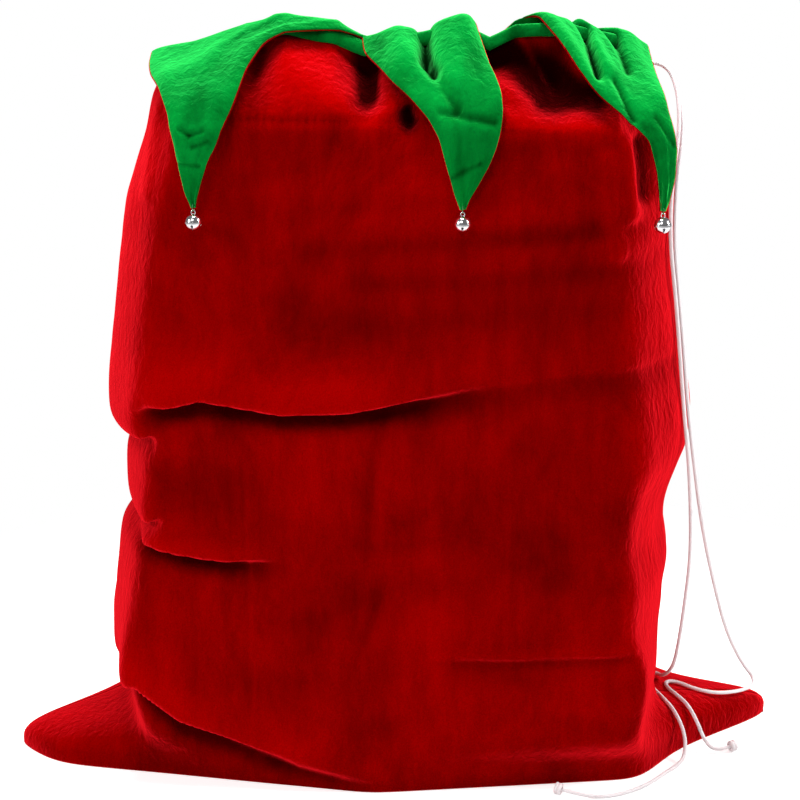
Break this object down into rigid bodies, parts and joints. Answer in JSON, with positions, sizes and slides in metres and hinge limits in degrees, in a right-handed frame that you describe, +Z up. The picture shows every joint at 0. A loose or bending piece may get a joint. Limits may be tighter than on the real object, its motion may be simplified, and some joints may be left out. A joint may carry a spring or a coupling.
{
  "type": "fabric gift sack",
  "caption": "Large red velvet gift sack with a turned-down collar of green points lined in red, a jingle bell on each point and a white drawstring.",
  "frame": {"origin": "middle of the base, on the floor under the sack", "axes": "+X across the sack to the side where the drawstring leaves, -Y the front, +Z up out of the mouth"},
  "size_m": [0.858, 0.3137, 0.767],
  "materials": {
    "red_velvet": "short-pile velvet",
    "green_velvet": "short-pile velvet",
    "white_cord": "smooth braided cord",
    "bell_metal": "bright plated",
    "pea_steel": "plain steel ball",
    "sewing_thread": "thin green thread"
  },
  "bodies": {
    "sack": {"front_panel": "red_velvet", "back_panel": "red_velvet", "casing_strip_front": "red_velvet", "casing_strip_back": "red_velvet", "collar_band": "green_velvet", "drawstring_run": "white_cord", "drawstring_tail_front": "white_cord", "drawstring_tail_back": "white_cord", "drawstring_knot_front": "white_cord", "drawstring_knot_back": "white_cord"},
    "petal_front_left": {"petal_face_front_left": "green_velvet", "petal_lining_front_left": "red_velvet"},
    "tie_front_left": {"bell_thread_front_left": "sewing_thread"},
    "bell_front_left": {"bell_cap_front_left": "bell_metal", "bell_cup_front_left": "bell_metal"},
    "pea_front_left": {"bell_pea_front_left": "pea_steel"},
    "petal_front_middle": {"petal_face_front_middle": "green_velvet", "petal_lining_front_middle": "red_velvet"},
    "tie_front_middle": {"bell_thread_front_middle": "sewing_thread"},
    "bell_front_middle": {"bell_cap_front_middle": "bell_metal", "bell_cup_front_middle": "bell_metal"},
    "pea_front_middle": {"bell_pea_front_middle": "pea_steel"},
    "petal_front_right": {"petal_face_front_right": "green_velvet", "petal_lining_front_right": "red_velvet"},
    "tie_front_right": {"bell_thread_front_right": "sewing_thread"},
    "bell_front_right": {"bell_cap_front_right": "bell_metal", "bell_cup_front_right": "bell_metal"},
    "pea_front_right": {"bell_pea_front_right": "pea_steel"},
    "petal_back_right": {"petal_face_back_right": "green_velvet", "petal_lining_back_right": "red_velvet"},
    "tie_back_right": {"bell_thread_back_right": "sewing_thread"},
    "bell_back_right": {"bell_cap_back_right": "bell_metal", "bell_cup_back_right": "bell_metal"},
    "pea_back_right": {"bell_pea_back_right": "pea_steel"},
    "petal_back_middle": {"petal_face_back_middle": "green_velvet", "petal_lining_back_middle": "red_velvet"},
    "tie_back_middle": {"bell_thread_back_middle": "sewing_thread"},
    "bell_back_middle": {"bell_cap_back_middle": "bell_metal", "bell_cup_back_middle": "bell_metal"},
    "pea_back_middle": {"bell_pea_back_middle": "pea_steel"},
    "petal_back_left": {"petal_face_back_left": "green_velvet", "petal_lining_back_left": "red_velvet"},
    "tie_back_left": {"bell_thread_back_left": "sewing_thread"},
    "bell_back_left": {"bell_cap_back_left": "bell_metal", "bell_cup_back_left": "bell_metal"},
    "pea_back_left": {"bell_pea_back_left": "pea_steel"}
  },
  "joints": [
    {"name": "petal_front_left_fold", "type": "hinge", "parent": "sack", "child": "petal_front_left", "pos_m": [-0.1809, -0.03388, 0.749], "axis": [-0.9958, 0.0916, 0], "range_deg": [0, 110]},
    {"name": "bell_front_left_swing", "type": "hinge", "parent": "petal_front_left", "child": "tie_front_left", "pos_m": [-0.19103, -0.14397, 0.60505], "axis": [-0.9958, 0.0916, 0], "range_deg": [0, 60]},
    {"name": "bell_front_left_sway", "type": "hinge", "parent": "tie_front_left", "child": "bell_front_left", "pos_m": [-0.19103, -0.14397, 0.60155], "axis": [-0.0916, -0.9958, 0], "range_deg": [-45, 45]},
    {"name": "bell_front_left_pea_slide", "type": "slide", "parent": "bell_front_left", "child": "pea_front_left", "axis": [0, 0, 1], "range_m": [0, 0.008]},
    {"name": "petal_front_middle_fold", "type": "hinge", "parent": "sack", "child": "petal_front_middle", "pos_m": [0.06725, -0.0475, 0.749], "axis": [-1, 0, 0], "range_deg": [0, 110]},
    {"name": "bell_front_middle_swing", "type": "hinge", "parent": "petal_front_middle", "child": "tie_front_middle", "pos_m": [0.06725, -0.14061, 0.60505], "axis": [-1, 0, 0], "range_deg": [0, 60]},
    {"name": "bell_front_middle_sway", "type": "hinge", "parent": "tie_front_middle", "child": "bell_front_middle", "pos_m": [0.06725, -0.14061, 0.60155], "axis": [0, -1, 0], "range_deg": [-45, 45]},
    {"name": "bell_front_middle_pea_slide", "type": "slide", "parent": "bell_front_middle", "child": "pea_front_middle", "axis": [0, 0, 1], "range_m": [0, 0.008]},
    {"name": "petal_front_right_fold", "type": "hinge", "parent": "sack", "child": "petal_front_right", "pos_m": [0.24325, -0.02845, 0.749], "axis": [-0.9912, -0.1326, 0], "range_deg": [0, 110]},
    {"name": "bell_front_right_swing", "type": "hinge", "parent": "petal_front_right", "child": "tie_front_right", "pos_m": [0.25772, -0.13661, 0.60505], "axis": [-0.9912, -0.1326, 0], "range_deg": [0, 60]},
    {"name": "bell_front_right_sway", "type": "hinge", "parent": "tie_front_right", "child": "bell_front_right", "pos_m": [0.25772, -0.13661, 0.60155], "axis": [0.1326, -0.9912, 0], "range_deg": [-45, 45]},
    {"name": "bell_front_right_pea_slide", "type": "slide", "parent": "bell_front_right", "child": "pea_front_right", "axis": [0, 0, 1], "range_m": [0, 0.008]},
    {"name": "petal_back_right_fold", "type": "hinge", "parent": "sack", "child": "petal_back_right", "pos_m": [0.22083, 0.03145, 0.749], "axis": [0.9912, -0.1326, 0], "range_deg": [0, 110]},
    {"name": "bell_back_right_swing", "type": "hinge", "parent": "petal_back_right", "child": "tie_back_right", "pos_m": [0.2353, 0.13961, 0.60505], "axis": [0.9912, -0.1326, 0], "range_deg": [0, 60]},
    {"name": "bell_back_right_sway", "type": "hinge", "parent": "tie_back_right", "child": "bell_back_right", "pos_m": [0.2353, 0.13961, 0.60155], "axis": [0.1326, 0.9912, 0], "range_deg": [-45, 45]},
    {"name": "bell_back_right_pea_slide", "type": "slide", "parent": "bell_back_right", "child": "pea_back_right", "axis": [0, 0, 1], "range_m": [0, 0.008]},
    {"name": "petal_back_middle_fold", "type": "hinge", "parent": "sack", "child": "petal_back_middle", "pos_m": [0.034, 0.0475, 0.749], "axis": [1, 0, 0], "range_deg": [0, 110]},
    {"name": "bell_back_middle_swing", "type": "hinge", "parent": "petal_back_middle", "child": "tie_back_middle", "pos_m": [0.034, 0.14061, 0.60505], "axis": [1, 0, 0], "range_deg": [0, 60]},
    {"name": "bell_back_middle_sway", "type": "hinge", "parent": "tie_back_middle", "child": "bell_back_middle", "pos_m": [0.034, 0.14061, 0.60155], "axis": [0, 1, 0], "range_deg": [-45, 45]},
    {"name": "bell_back_middle_pea_slide", "type": "slide", "parent": "bell_back_middle", "child": "pea_back_middle", "axis": [0, 0, 1], "range_m": [0, 0.008]},
    {"name": "petal_back_left_fold", "type": "hinge", "parent": "sack", "child": "petal_back_left", "pos_m": [-0.1809, 0.03388, 0.749], "axis": [0.9958, 0.0916, 0], "range_deg": [0, 110]},
    {"name": "bell_back_left_swing", "type": "hinge", "parent": "petal_back_left", "child": "tie_back_left", "pos_m": [-0.19103, 0.14397, 0.60505], "axis": [0.9958, 0.0916, 0], "range_deg": [0, 60]},
    {"name": "bell_back_left_sway", "type": "hinge", "parent": "tie_back_left", "child": "bell_back_left", "pos_m": [-0.19103, 0.14397, 0.60155], "axis": [-0.0916, 0.9958, 0], "range_deg": [-45, 45]},
    {"name": "bell_back_left_pea_slide", "type": "slide", "parent": "bell_back_left", "child": "pea_back_left", "axis": [0, 0, 1], "range_m": [0, 0.008]}
  ]
}
